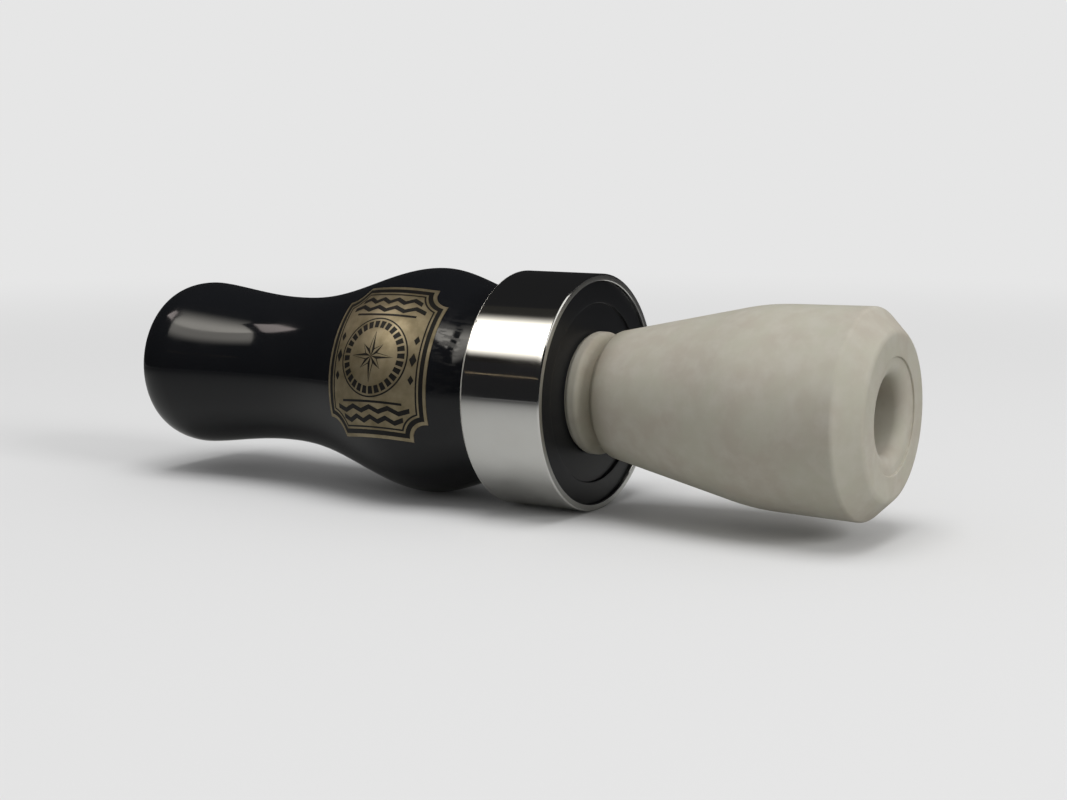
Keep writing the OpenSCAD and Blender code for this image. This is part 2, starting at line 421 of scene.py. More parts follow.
@dataclass(frozen=True)
class IvoryResin:
    """Cast polyester resin, turned and sanded satin: creamy grey with faint marbling, and a soft glow.

    Painted shade darkens the colour in the groove beside the collar and fades to both sides of it.
    """

    rim_x: float
    colour: str = "#b8b5a6"
    colour_cloud: str = "#b5aea1"
    colour_wisp: str = "#bfbbaf"
    ior: float = 1.52
    shine: float = 0.25
    satin: Span = (0.52, 0.64)
    cloud: Pattern = Pattern(6.5, limits=(0.4, 0.62))
    wisp: Pattern = Pattern(2.4, detail=5.0, limits=(0.42, 0.7))
    wisp_share: float = 0.8
    # Real sanding marks are finer than a tenth: these are drawn coarser so that they show
    sanding: Pattern = Pattern(0.16)
    sand_depth_mm: float = 0.006
    turning: Pattern = Pattern(0.5, Grain.ROUND)
    turn_depth_mm: float = 0.002
    glow: float = 0.08
    glow_mm: float = 0.8
    glow_reach: Way = (1.0, 0.85, 0.6)
    # Painted shade: the darker tint of the groove beside the collar, where it is deepest, and where it ends
    # on each side
    painted_shade: str = "#ccc8c0"
    painted_shade_at_mm: float = 2.3
    unshaded_rear_mm: float = -0.4
    unshaded_front_mm: float = 6.5

    def build(self) -> Material:
        """Builds the material.

        Returns:
            The material.
        """
        skin = Surface(
            "satin_ivory_resin",
            {
                "IOR": self.ior,
                "Metallic": 0.0,
                "Specular IOR Level": self.shine,
                "Subsurface Weight": self.glow,
                "Subsurface Radius": self.glow_reach,
                "Subsurface Scale": self.glow_mm * MM,
            },
        )
        tree = skin.tree
        clouded = self.cloud.tint(tree, linear(self.colour), linear(self.colour_cloud), self.cloud.limits)
        marbled = self.wisp.tint(tree, clouded, linear(self.colour_wisp), self.wisp.limits, self.wisp_share)
        rear, groove, front = (
            self.rim_x + mm * MM for mm in (self.unshaded_rear_mm, self.painted_shade_at_mm, self.unshaded_front_mm)
        )
        # Painted shade: the colour darkens in the groove and fades out towards both sides
        behind = change(tree, 1.0, 0.0, rear, groove)
        unshaded = change(tree, behind, 1.0, groove, front)
        painted_shade = add_node(
            tree,
            "ShaderNodeMix",
            {"Factor": unshaded, "A": linear(self.painted_shade), "B": linear(WHITE)},
            {"data_type": "RGBA"},
        )
        shade_tinted = add_node(
            tree,
            "ShaderNodeMix",
            {"Factor": 1.0, "A": marbled, "B": painted_shade.outputs["Result"]},
            {"data_type": "RGBA", "blend_type": "MULTIPLY"},
        )
        turning = self.turning.relief(tree, self.turn_depth_mm)
        sanded = self.sanding.relief(tree, self.sand_depth_mm, turning)
        return skin.cover(shade_tinted.outputs["Result"], [self.cloud.level(tree, *self.satin)], sanded)


@dataclass(frozen=True)
class BronzeFoil:
    """Hot-stamped bronze foil: a soft metal sheen that is mottled where the stamp pressed less."""

    colour: str = "#a0947a"
    colour_dark: str = "#7c7158"
    metal: float = 0.8
    rough: Span = (0.44, 0.56)
    stamping: Pattern = Pattern(2.6, detail=4.0)
    grain: Pattern = Pattern(0.25)
    grain_depth_mm: float = 0.006

    def build(self) -> Material:
        """Builds the material.

        Returns:
            The material.
        """
        skin = Surface("stamped_bronze_foil", {"Metallic": self.metal})
        tree = skin.tree
        light, dark = linear(self.colour), linear(self.colour_dark)
        return skin.cover(
            self.stamping.tint(tree, light, dark, self.stamping.limits),
            [self.stamping.level(tree, *self.rough)],
            self.grain.relief(tree, self.grain_depth_mm),
        )


@dataclass(frozen=True)
class PrintInk:
    """Screen-printed black ink: nearly matt, with a thin film's slight unevenness."""

    colour: str = "#0d0c0b"
    colour_thin: str = "#1d1913"
    ior: float = 1.5
    shine: float = 0.25
    rough: Span = (0.5, 0.65)
    film: Pattern = Pattern(0.6, limits=(0.5, 0.8))

    def build(self) -> Material:
        """Builds the material.

        Returns:
            The material.
        """
        skin = Surface(
            "printed_black_ink", {"Metallic": 0.0, "IOR": self.ior, "Specular IOR Level": self.shine}
        )
        tree = skin.tree
        colour = self.film.tint(tree, linear(self.colour), linear(self.colour_thin), self.film.limits)
        return skin.cover(colour, [self.film.level(tree, *self.rough)])


@dataclass(frozen=True)
class NitrileRubber:
    """Moulded nitrile rubber: matt black with a fine moulded grain and a thin film of grease."""

    colour: str = "#1b1b1c"
    colour_greased: str = "#0f0f10"
    ior: float = 1.52
    rough: Span = (0.62, 0.32)
    grease: Pattern = Pattern(2.5, limits=(0.45, 0.6))
    grain: Pattern = Pattern(0.12)
    grain_depth_mm: float = 0.005

    def build(self) -> Material:
        """Builds the material.

        Returns:
            The material.
        """
        skin = Surface("nitrile_rubber", {"Metallic": 0.0, "IOR": self.ior})
        tree = skin.tree
        dry, greased = linear(self.colour), linear(self.colour_greased)
        return skin.cover(
            self.grease.tint(tree, dry, greased, self.grease.limits),
            [self.grease.level(tree, *self.rough)],
            self.grain.relief(tree, self.grain_depth_mm),
        )


@dataclass(frozen=True)
class Acetal:
    """Machined acetal: milky and waxy, with the cutter's rings still in it."""

    name: str
    colour: str
    colour_cut: str
    ior: float = 1.48
    rough: Span = (0.34, 0.48)
    cut: Pattern = Pattern(0.3, Grain.ROUND)
    cut_depth_mm: float = 0.004
    glow: float = 0.2
    glow_mm: float = 0.8
    glow_reach: Way = (1.0, 1.0, 0.9)

    def build(self) -> Material:
        """Builds the material.

        Returns:
            The material.
        """
        skin = Surface(
            self.name,
            {
                "Metallic": 0.0,
                "IOR": self.ior,
                "Subsurface Weight": self.glow,
                "Subsurface Radius": self.glow_reach,
                "Subsurface Scale": self.glow_mm * MM,
            },
        )
        tree = skin.tree
        return skin.cover(
            self.cut.tint(tree, linear(self.colour), linear(self.colour_cut)),
            [self.cut.level(tree, *self.rough)],
            self.cut.relief(tree, self.cut_depth_mm),
        )


@dataclass(frozen=True)
class PolyesterFilm:
    """Cut polyester film: a smooth, slightly milky blade with a few scratches along it."""

    colour: str = "#d9d7c6"
    colour_scratch: str = "#d0cdbb"
    ior: float = 1.6
    clear: float = 0.25
    rough: Span = (0.16, 0.28)
    scratch: Pattern = Pattern(0.35, Grain.ALONG)

    def build(self) -> Material:
        """Builds the material.

        Returns:
            The material.
        """
        skin = Surface("polyester_film", {"IOR": self.ior, "Transmission Weight": self.clear})
        tree = skin.tree
        colour = self.scratch.tint(tree, linear(self.colour), linear(self.colour_scratch))
        return skin.cover(colour, [self.scratch.level(tree, *self.rough)])


@dataclass(frozen=True)
class Axis:
    """The lathe axis of the call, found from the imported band."""

    rim_x: float
    height: float

    @classmethod
    def from_frame(cls) -> "Axis":
        """Reads the band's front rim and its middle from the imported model."""
        low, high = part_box("band")
        return cls(high.x, (low.z + high.z) / 2)

    def point(self, place: float, y: float, z: float) -> Vector:
        """Gives the frame's point in metres.

        Args:
            place: Place along the axis, in millimetres from the band's front rim.
            y: Distance to the far side, in millimetres.
            z: Height above the axis, in millimetres.

        Returns:
            The point.
        """
        return Vector((self.rim_x + place * MM, y * MM, self.height + z * MM))


def ease(t: float) -> float:
    """Smooth step from 0 to 1 with level ends."""
    return t * t * (3 - 2 * t)


def between(low: float, high: float, t: float) -> float:
    """Value at the share t of the way from low to high."""
    return low + (high - low) * t


def quarter_turn(steps: int) -> list[float]:
    """Angles of a quarter turn, in even steps from 0."""
    return [math.pi / 2 * i / steps for i in range(steps + 1)]


def swell(start: Span, stop: Span, skew: float, steps: int = 48) -> Outline:
    """Turned curve that is level at both ends.

    Args:
        start: Place and radius at its start.
        stop: Place and radius at its end.
        skew: Under 1 the curve changes early, over 1 late.
        steps: Number of points.

    Returns:
        The points after the start.
    """
    shares = [i / steps for i in range(1, steps + 1)]
    return [(between(start[0], stop[0], t), between(start[1], stop[1], ease(t**skew))) for t in shares]


def rounded(corners: list[Corner], steps: int = 8) -> Outline:
    """Rounds the corners of a closed outline.

    Args:
        corners: Place, radius and rounding of each corner.
        steps: Number of steps of each rounding.

    Returns:
        The outline's points.
    """
    points: Outline = []
    for i, (place, radius, rounding) in enumerate(corners):
        here = Vector((place, radius))
        if rounding == 0:
            points.append((place, radius))
            continue
        to_last = (Vector(corners[i - 1][:2]) - here).normalized()
        to_next = (Vector(corners[(i + 1) % len(corners)][:2]) - here).normalized()
        half = math.acos(max(-1.0, min(1.0, to_last.dot(to_next)))) / 2
        middle = here + (to_last + to_next).normalized() * rounding / math.sin(half)
        first = here + to_last * rounding / math.tan(half) - middle
        way = -1 if to_last.x * to_next.y - to_last.y * to_next.x > 0 else 1
        for k in range(steps + 1):
            turn = way * (math.pi - 2 * half) * k / steps
            spun = Matrix.Rotation(turn, 2) @ first
            points.append(tuple(middle + spun))
    return points


def turned(name: str, outline: Outline, axis: Axis, sides: int = 224, longest: float = 0.7) -> Piece:
    """Turns a closed outline about the axis.

    Args:
        name: Name of the piece.
        outline: Place and radius of each point, in millimetres.
        axis: Axis of the call.
        sides: Number of facets round the axis.
        longest: Longest stretch of outline without a ring of points, in millimetres.

    Returns:
        The piece.
    """
    rings: Outline = []
    for i, (place, radius) in enumerate(outline):
        next_place, next_radius = outline[(i + 1) % len(outline)]
        cuts = max(1, math.ceil(math.hypot(next_place - place, next_radius - radius) / longest))
        shares = [k / cuts for k in range(cuts)]
        rings += [(between(place, next_place, t), between(radius, next_radius, t)) for t in shares]
    mesh = bmesh.new()
    turns = [2 * math.pi * k / sides for k in range(sides)]
    points = [
        [mesh.verts.new(axis.point(place, radius * math.sin(a), radius * math.cos(a))) for a in turns]
        for place, radius in rings
    ]
    for i, ring in enumerate(points):
        after = points[(i + 1) % len(points)]
        for k in range(sides):
            mesh.faces.new((ring[k], ring[(k + 1) % sides], after[(k + 1) % sides], after[k]))
    return make_piece(name, mesh)


def make_piece(name: str, mesh: bmesh.types.BMesh, sharp_deg: float = 35.0) -> Piece:
    """Makes an object of a mesh, smooth but for its sharp edges.

    Args:
        name: Name of the piece.
        mesh: Mesh in frame coordinates, which is used up.
        sharp_deg: Angle over which an edge is sharp.

    Returns:
        The piece, linked to the scene.
    """
    bmesh.ops.recalc_face_normals(mesh, faces=mesh.faces)
    data = bpy.data.meshes.new(name)
    mesh.to_mesh(data)
    mesh.free()
    data.polygons.foreach_set("use_smooth", [True] * len(data.polygons))
    data.set_sharp_from_angle(angle=math.radians(sharp_deg))
    piece = bpy.data.objects.new(name, data)
    bpy.context.scene.collection.objects.link(piece)
    return piece


def thin_sheet(name: str, under: Grid, over: Grid) -> Piece:
    """Makes a thin closed sheet from the points of its two sides.

    Args:
        name: Name of the piece.
        under: Lines of points on the under side.
        over: The same points on the upper side.

    Returns:
        The sheet.
    """
    mesh = bmesh.new()
    low, high = ([[mesh.verts.new(point) for point in line] for line in side] for side in (under, over))
    columns, rows = len(under) - 1, len(under[0]) - 1
    for side in (low, high):
        for i in range(columns):
            for k in range(rows):
                mesh.faces.new((side[i][k], side[i + 1][k], side[i + 1][k + 1], side[i][k + 1]))
    rim = [(i, 0) for i in range(columns)] + [(columns, k) for k in range(rows)]
    rim += [(i, rows) for i in range(columns, 0, -1)] + [(0, k) for k in range(rows, 0, -1)]
    for (i, k), (m, n) in zip(rim, rim[1:] + rim[:1]):
        mesh.faces.new((low[i][k], low[m][n], high[m][n], high[i][k]))
    return make_piece(name, mesh)


def dress(piece: Piece, material: Material, body: str, node: str | None = None) -> Piece:
    """Gives a piece its finish and its body, and hides the CAD node that it replaces.

    Args:
        piece: Piece to dress.
        material: Its finish.
        body: CAD body that it rides on.
        node: CAD node that it replaces, if any.

    Returns:
        The dressed piece.
    """
    piece.data.materials.clear()
    piece.data.materials.append(material)
    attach(piece, body)
    if node is not None:
        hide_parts(node)
    return piece


@dataclass
class Barrel:
    """The barrel and its band."""

    axis: Axis
    length: float = 72.1
    mouth_r: float = 12.15
    mouth_face_r: float = 9.4
    waist_r: float = 10.6
    flare_at: float = 5.5
    waist_at: float = 21.5
    bulge_at: float = 47.0
    bulge_drop: float = 0.15
    neck_drop: float = 2.9
    neck_run: float = 12.0
    bore_r: float = 7.94
    mouth_round: float = 0.9
    mouth_steps: int = 10
    step_r: float = 12.1
    step_depth: float = 0.35
    bore_chamfer: float = 0.1
    edge_round: float = 0.08
    face_recess: float = 0.45
    band_r: float = 16.0
    band_len: float = 12.1
    band_wall: float = 0.93
    band_chamfer: float = 0.2
    rear_chamfer: float = 0.3
    inner_chamfer: float = 0.1
    flare_skew: float = 0.78
    swell_skew: float = 1.25
    lip_steps: int = 32
    flank_steps: int = 40

    @property
    def mouth(self) -> float:
        """Place of the mouth."""
        return -self.face_recess - self.length

    @property
    def bulge(self) -> float:
        """Place of the bulge."""
        return self.mouth + self.bulge_at

    def skin(self) -> Outline:
        """Outside of the barrel, from its mouth to the band's rear face.

        Returns:
            Place and radius of each point.
        """
        lip = [
            (
                self.mouth + self.flare_at * (1 - math.cos(a)),
                between(self.mouth_face_r, self.mouth_r, math.sin(a)),
            )
            for a in quarter_turn(self.lip_steps)
        ]
        flare = (self.mouth + self.flare_at, self.mouth_r)
        waist = (self.mouth + self.waist_at, self.waist_r)
        bulge = (self.bulge, self.band_r - self.bulge_drop)
        flank = []
        for i in range(1, self.flank_steps + 1):
            place = between(self.bulge, -self.band_len, i / self.flank_steps)
            fall = ease(min(1.0, (place - self.bulge) / self.neck_run))
            flank.append((place, between(bulge[1], self.band_r - self.neck_drop, fall)))
        return lip + swell(flare, waist, self.flare_skew) + swell(waist, bulge, self.swell_skew) + flank

    def radius_at(self, place: float) -> float:
        """Radius of the barrel's outside.

        Args:
            place: Place along the axis.

        Returns:
            The radius in millimetres.
        """
        skin = self.skin()
        for (p0, r0), (p1, r1) in zip(skin, skin[1:]):
            if p0 <= place <= p1:
                return between(r0, r1, (place - p0) / (p1 - p0))
        return skin[-1][1]

    def build(self) -> tuple[Piece, Piece]:
        """Builds the barrel and the band.

        Returns:
            The barrel and the band.
        """
        seat_r = self.band_r - self.band_wall
        face = -self.face_recess
        step = face - self.step_depth
        front = rounded(
            [
                (-self.band_len, seat_r, 0),
                (face, seat_r, self.edge_round),
                (face, self.step_r, self.edge_round),
                (step, self.step_r, self.edge_round),
                (step, self.bore_r + self.bore_chamfer, 0),
                (step - self.bore_chamfer, self.bore_r, 0),
            ]
        )
        mouth_bore = [
            (
                self.mouth + self.mouth_round * (1 - math.cos(a)),
                self.bore_r + self.mouth_round * (1 - math.sin(a)),
            )
            for a in reversed(quarter_turn(self.mouth_steps))
        ]
        barrel = turned("barrel_turned", self.skin() + front + mouth_bore, self.axis)
        fore, rear, inner = self.band_chamfer, self.rear_chamfer, self.inner_chamfer
        band = turned(
            "band_turned",
            rounded(
                [
                    (-self.band_len, seat_r, 0),
                    (-self.band_len, self.band_r - rear, self.edge_round),
                    (-self.band_len + rear, self.band_r, self.edge_round),
                    (-fore, self.band_r, self.edge_round),
                    (0, self.band_r - fore, self.edge_round),
                    (0, seat_r + inner, self.edge_round / 2),
                    (-inner, seat_r, 0),
                ]
            ),
            self.axis,
        )
        return barrel, band

    def assemble(self) -> list[Piece]:
        """Builds and dresses the barrel and the band.

        Returns:
            The dressed pieces.
        """
        barrel, band = self.build()
        acrylic = BlackAcrylic(self.axis.rim_x).build()
        aluminium = PolishedAluminium(self.axis.rim_x, self.band_len).build()
        return [
            dress(barrel, acrylic, "barrel", "barrel"),
            dress(band, aluminium, "barrel", "band"),
        ]


@dataclass
class Badge:
    """The foil badge on the barrel, with a generic print: a wind star in a ring of cogs, and chevrons."""

    barrel: Barrel
    length: float = 16.4
    width: float = 21.0
    scallop: float = 2.4
    foil: float = 0.1
    ink: float = 0.02
    shift: float = -1.2
    turn_deg: float = 18.0
    borders: tuple[Span, ...] = ((0.4, 0.95), (1.2, 1.4))
    rays: int = 8
    long_ray: float = 3.6
    short_ray: float = 2.4
    ray_root: float = 1.0
    ray_edge_share: float = 0.45
    cogs: int = 28
    cog_share: float = 0.68
    cog_r: Span = (4.05, 5.05)
    circle_r: Span = (5.3, 5.5)
    circle_steps: int = 72
    lozenge_at: float = 6.2
    lozenge: Span = (0.5, 0.95)
    small_lozenge_at: float = 2.7
    small_lozenge: Span = (0.4, 0.65)
    rule_at: float = 6.0
    rule_reach: float = 5.0
    rule_steps: int = 20
    chevron_rows: tuple[Span, ...] = ((6.95, 6.0), (8.2, 5.0))
    chevron_pitch: float = 1.4
    chevron_rise: float = 0.55
    line: float = 0.3
    facet: float = 0.8
    cut_rounds: int = 3
    patches: list[Outline] = field(default_factory=list)

    def lay(self, u: float, v: float, lift: float) -> Vector:
        """Lays a point of the flat badge on the barrel.

        Args:
            u: Distance from the badge's middle along the barrel.
            v: Distance from the badge's middle across the barrel.
            lift: Height over the barrel's skin.

        Returns:
            The point in the frame.
        """
        place = self.barrel.bulge + self.shift + u
        radius = self.barrel.radius_at(place) + lift
        out = math.sqrt(radius * radius - v * v)
        turn = math.radians(self.turn_deg)
        y = -out * math.cos(turn) + v * math.sin(turn)
        z = out * math.sin(turn) + v * math.cos(turn)
        return self.barrel.axis.point(place, y, z)

    def half_width(self, u: float) -> float:
        """Half the badge's width, which its scalloped corners narrow.

        Args:
            u: Distance from the badge's middle along the barrel.

        Returns:
            The half width in millimetres.
        """
        from_end = self.length / 2 - abs(u)
        if from_end >= self.scallop:
            return self.width / 2
        return self.width / 2 - math.sqrt(self.scallop**2 - from_end**2)

    def build_foil(self, columns: int = 96, rows: int = 72) -> Piece:
        """Builds the foil as a thin closed sheet.

        Args:
            columns: Facets along the barrel.
            rows: Facets across it.

        Returns:
            The foil.
        """
        sides = []
        for lift in (0.0, self.foil):
            side = []
            for i in range(columns + 1):
                u = -self.length / 2 * math.cos(math.pi * i / columns)
                half = self.half_width(u)
                side.append([self.lay(u, half * (2 * k / rows - 1), lift) for k in range(rows + 1)])
            sides.append(side)
        return thin_sheet("badge_foil", *sides)

    def edge(self, inset: float, steps: int = 16) -> Outline:
        """Closed line that follows the badge's outline at a distance inside it.

        Args:
            inset: Distance inside the outline.
            steps: Steps of each scallop and each side.

        Returns:
            Its points.
        """
        reach = self.scallop + inset
        skip = math.asin(inset / reach)
        points = []
        for quarter, (su, sv) in enumerate([(1, 1), (-1, 1), (-1, -1), (1, -1)]):
            centre = Vector((su * self.length / 2, sv * self.width / 2))
            arc = []
            for i in range(steps + 1):
                a = between(skip, math.pi / 2 - skip, i / steps)
                arc.append((centre.x - su * reach * math.sin(a), centre.y - sv * reach * math.cos(a)))
            points += arc[::-1] if quarter % 2 else arc
        return points

    def print_edge(self, outer: float, inner: float, longest: float = 0.7) -> None:
        """Prints a line round the badge between two insets.

        Args:
            outer: Inset of the line's outer side.
            inner: Inset of its inner side.
            longest: Longest piece of the line.
        """
        first, second = ([Vector(spot) for spot in self.edge(inset)] for inset in (outer, inner))
        for i in range(len(first)):
            k = (i + 1) % len(first)
            cuts = max(1, math.ceil((first[k] - first[i]).length / longest))
            for c in range(cuts):
                share, after = c / cuts, (c + 1) / cuts
                spots = [first[i].lerp(first[k], share), first[i].lerp(first[k], after)]
                spots += [second[i].lerp(second[k], after), second[i].lerp(second[k], share)]
                self.patches.append([tuple(spot) for spot in spots])

    def print_stroke(self, line: Outline, thick: float) -> None:
        """Prints a stroke along the barrel.

        Args:
            line: Its points.
            thick: Its thickness across the barrel.
        """
        half = thick / 2
        for (u0, v0), (u1, v1) in zip(line, line[1:]):
            self.patches.append([(u0, v0 - half), (u1, v1 - half), (u1, v1 + half), (u0, v0 + half)])

    def print_star(self) -> None:
        """Prints a star whose rays are black on one half and outlined on the other."""
        step = 2 * math.pi / self.rays
        for k in range(self.rays):
            reach = self.short_ray if k % 2 else self.long_ray
            a = step * k
            tip = (reach * math.cos(a), reach * math.sin(a))
            sides = (a + step / 2, a - step / 2)
            roots = [(self.ray_root * math.cos(b), self.ray_root * math.sin(b)) for b in sides]
            self.patches.append([(0.0, 0.0), roots[1], tip])
            start, stop = Vector(roots[0]), Vector(tip)
            side = (stop - start).orthogonal().normalized() * self.line * self.ray_edge_share
            self.patches.append([tuple(start), tuple(start + side), tuple(stop)])

    def print_ring(self, inner: float, outer: float, blocks: int, share: float = 1.0) -> None:
        """Prints a ring of blocks.

        Args:
            inner: Inner radius.
            outer: Outer radius.
            blocks: Number of blocks.
            share: Share of the ring that the blocks fill, 1 for a closed ring.
        """
        step = 2 * math.pi / blocks
        for k in range(blocks):
            start, stop = step * k, step * (k + share)
            spots = [(inner, start), (outer, start), (outer, stop), (inner, stop)]
            self.patches.append([(r * math.cos(a), r * math.sin(a)) for r, a in spots])

    def print_lozenge(self, u: float, v: float, halves: Span) -> None:
        """Prints a lozenge.

        Args:
            u: Place of its middle along the barrel.
            v: Place of its middle across it.
            halves: Half its length and half its width.
        """
        half_u, half_v = halves
        self.patches.append([(u - half_u, v), (u, v - half_v), (u + half_u, v), (u, v + half_v)])

    def build_print(self) -> Piece:
        """Builds the print as a thin film of ink on the foil.

        Returns:
            The print.
        """
        for border in self.borders:
            self.print_edge(*border)
        self.print_star()
        self.print_ring(*self.cog_r, self.cogs, self.cog_share)
        self.print_ring(*self.circle_r, self.circle_steps)
        for side in (-1, 1):
            for v, reach in self.chevron_rows:
                count = 2 * round(reach / self.chevron_pitch)
                rise = [self.chevron_rise * (0.5 if i % 2 else -0.5) for i in range(count + 1)]
                zigzag = [(between(-reach, reach, i / count), side * (v + rise[i])) for i in range(count + 1)]
                self.print_stroke(zigzag, self.line * 2)
            shares = [i / self.rule_steps for i in range(self.rule_steps + 1)]
            rule = [(between(-self.rule_reach, self.rule_reach, t), side * self.rule_at) for t in shares]
            self.print_stroke(rule, self.line)
            self.print_lozenge(side * self.lozenge_at, 0.0, self.lozenge)
            for end in (-1, 1):
                self.print_lozenge(side * self.lozenge_at, end * self.small_lozenge_at, self.small_lozenge)
        return self.conform("badge_print")

    def conform(self, name: str) -> Piece:
        """Cuts the flat patches fine, lays them on the foil and gives them the ink's thickness.

        Args:
            name: Name of the piece.

        Returns:
            The piece.
        """
        mesh = bmesh.new()
        for patch in self.patches:
            mesh.faces.new([mesh.verts.new((u, v, 0)) for u, v in patch])
        bmesh.ops.triangulate(mesh, faces=[f for f in mesh.faces if len(f.verts) > QUAD])
        for _ in range(self.cut_rounds):
            long_edges = [e for e in mesh.edges if e.calc_length() > self.facet]
            if long_edges:
                bmesh.ops.subdivide_edges(mesh, edges=long_edges, cuts=1, use_grid_fill=True)
        bmesh.ops.triangulate(mesh, faces=[f for f in mesh.faces if len(f.verts) > QUAD])
        flat = [(v, v.co.x, v.co.y) for v in mesh.verts]
        top = bmesh.ops.duplicate(mesh, geom=mesh.verts[:] + mesh.edges[:] + mesh.faces[:])
        lifted = {top["vert_map"][v]: (u, w) for v, u, w in flat}
        rim = [e for e in mesh.edges if e.is_boundary and e.verts[0] not in lifted]
        for edge in rim:
            a, b = edge.verts
            mesh.faces.new((a, b, top["vert_map"][b], top["vert_map"][a]))
        for v, u, w in flat:
            v.co = self.lay(u, w, self.foil)
        for v, (u, w) in lifted.items():
            v.co = self.lay(u, w, self.foil + self.ink)
        return make_piece(name, mesh)

    def assemble(self) -> list[Piece]:
        """Builds and dresses the foil and its print.

        Returns:
            The dressed pieces.
        """
        return [
            dress(self.build_foil(), BronzeFoil().build(), "barrel", "badge"),
            dress(self.build_print(), PrintInk().build(), "barrel"),
        ]


@dataclass
class Insert:
    """The insert, with its tenon, collar, lanyard groove, cone, belly and bores."""

    axis: Axis
    seat: float = -0.75
    bore_r: float = 7.94
    tenon_clear: float = 0.08
    tenon_len: float = 20.4
    tenon_round: float = 0.5
    collar_r: float = 8.26
    collar_len: float = 1.6
    collar_foot_round: float = 0.6
    collar_round: float = 0.9
    groove_r: float = 7.35
    groove_flat: float = 0.65
    groove_slope: float = 1.0
    groove_round: float = 0.5
    cone_r: float = 8.55
    cone_len: float = 20.9
    cone_round: float = 1.1
    shoulder_r: float = 13.15
    shoulder_round: float = 30.0
    belly_len: float = 14.0
    belly_r: float = 13.45
    belly_round: float = 1.0
    chamfer_len: float = 3.0
    end_r: float = 10.55
    end_round: float = 1.3
    recess_r: float = 7.4
    recess_h: float = 0.3
    recess_edge_round: float = 0.12
    recess_foot_round: float = 0.1
    exhaust_r: float = 4.9
    exhaust_len: float = 23.0
    exhaust_round: float = 0.5
    lip_round: float = 1.7
    flare_len: float = 6.0
    throat_r: float = 3.1
    gut_bore_r: float = 4.76
    gut_bore_past: float = 5.0
    gut_bore_round: float = 0.15
    ring_section: float = 1.62
    ring_play: float = 0.4
    ring_clear: float = 0.03
    ring_front_at: float = 5.0
    ring_pitch: float = 9.0
    ring_edge_round: float = 0.1
    ring_steps: int = 40
    ring_sides: int = 160
    flash: float = 0.015
    round_steps: int = 10

    @property
    def tenon(self) -> float:
        """Place of the tenon's inner end."""
        return self.seat - self.tenon_len

    @property
    def ring_floor_r(self) -> float:
        """Radius at the bottom of an O-ring groove."""
        return self.bore_r - self.ring_section - 2 * self.ring_clear

    def ring_places(self) -> dict[str, float]:
        """Places of the two O-rings, by CAD node."""
        front = self.seat - self.ring_front_at
        return {"o_ring_front": front, "o_ring_rear": front - self.ring_pitch}

    def corners(self) -> list[Corner]:
        """Corners of the outline, from the gut bore round the outside and back through the exhaust.

        Returns:
            Place, radius and rounding of each corner.
        """
        tenon_r = self.bore_r - self.tenon_clear
        half = (self.ring_section + self.ring_play) / 2
        corners = [
            (self.tenon, self.gut_bore_r, self.gut_bore_round),
            (self.tenon, tenon_r, self.tenon_round),
        ]
        for place in sorted(self.ring_places().values()):
            corners += [
                (place - half, tenon_r, self.ring_edge_round),
                (place - half, self.ring_floor_r, 0),
                (place + half, self.ring_floor_r, 0),
                (place + half, tenon_r, self.ring_edge_round),
            ]
        collar = self.seat + self.collar_len
        cone = collar + 2 * self.groove_slope + self.groove_flat
        shoulder = cone + self.cone_len
        belly = shoulder + self.belly_len
        end = belly + self.chamfer_len
        recess = end - self.recess_h
        exhaust = recess - self.exhaust_len
        throat = exhaust - self.flare_len
        return corners + [
            (self.seat, tenon_r, 0),
            (self.seat, self.collar_r, self.collar_foot_round),
            (collar, self.collar_r, self.collar_round),
            (collar + self.groove_slope, self.groove_r, self.groove_round),
            (cone - self.groove_slope, self.groove_r, self.groove_round),
            (cone, self.cone_r, self.cone_round),
            (shoulder, self.shoulder_r, self.shoulder_round),
            (belly, self.belly_r, self.belly_round),
            (end, self.end_r, self.end_round),
            (end, self.recess_r, self.recess_edge_round),
            (recess, self.recess_r, self.recess_foot_round),
            (recess, self.exhaust_r, self.lip_round),
            (exhaust, self.exhaust_r, self.exhaust_round),
            (throat, self.throat_r, 0),
            (self.seat + self.gut_bore_past, self.throat_r, 0),
            (self.seat + self.gut_bore_past, self.gut_bore_r, 0),
        ]

    def build(self) -> Piece:
        """Builds the insert."""
        return turned("insert_turned", rounded(self.corners(), self.round_steps), self.axis)

    def build_ring(self, node: str) -> Piece:
        """Builds one O-ring with the thin flash line that its mould leaves.

        Args:
            node: CAD node of the ring.

        Returns:
            The ring.
        """
        place = self.ring_places()[node]
        middle = self.ring_floor_r + self.ring_clear + self.ring_section / 2
        half = self.ring_section / 2
        quarter = self.ring_steps // 4
        flash_at = (quarter, self.ring_steps - quarter)
        outline = []
        for k in range(self.ring_steps):
            a = 2 * math.pi * k / self.ring_steps
            flash = self.flash if k in flash_at else 0.0
            outline.append((place + (half + flash) * math.sin(a), middle + half * math.cos(a)))
        return turned(f"{node}_moulded", outline, self.axis, self.ring_sides)

    def assemble(self) -> list[Piece]:
        """Builds and dresses the insert and its O-rings.

        Returns:
            The dressed pieces.
        """
        pieces = [dress(self.build(), IvoryResin(self.axis.rim_x).build(), "insert", "insert")]
        rubber = NitrileRubber().build()
        for node in self.ring_places():
            pieces.append(dress(self.build_ring(node), rubber, "seals", node))
        return pieces


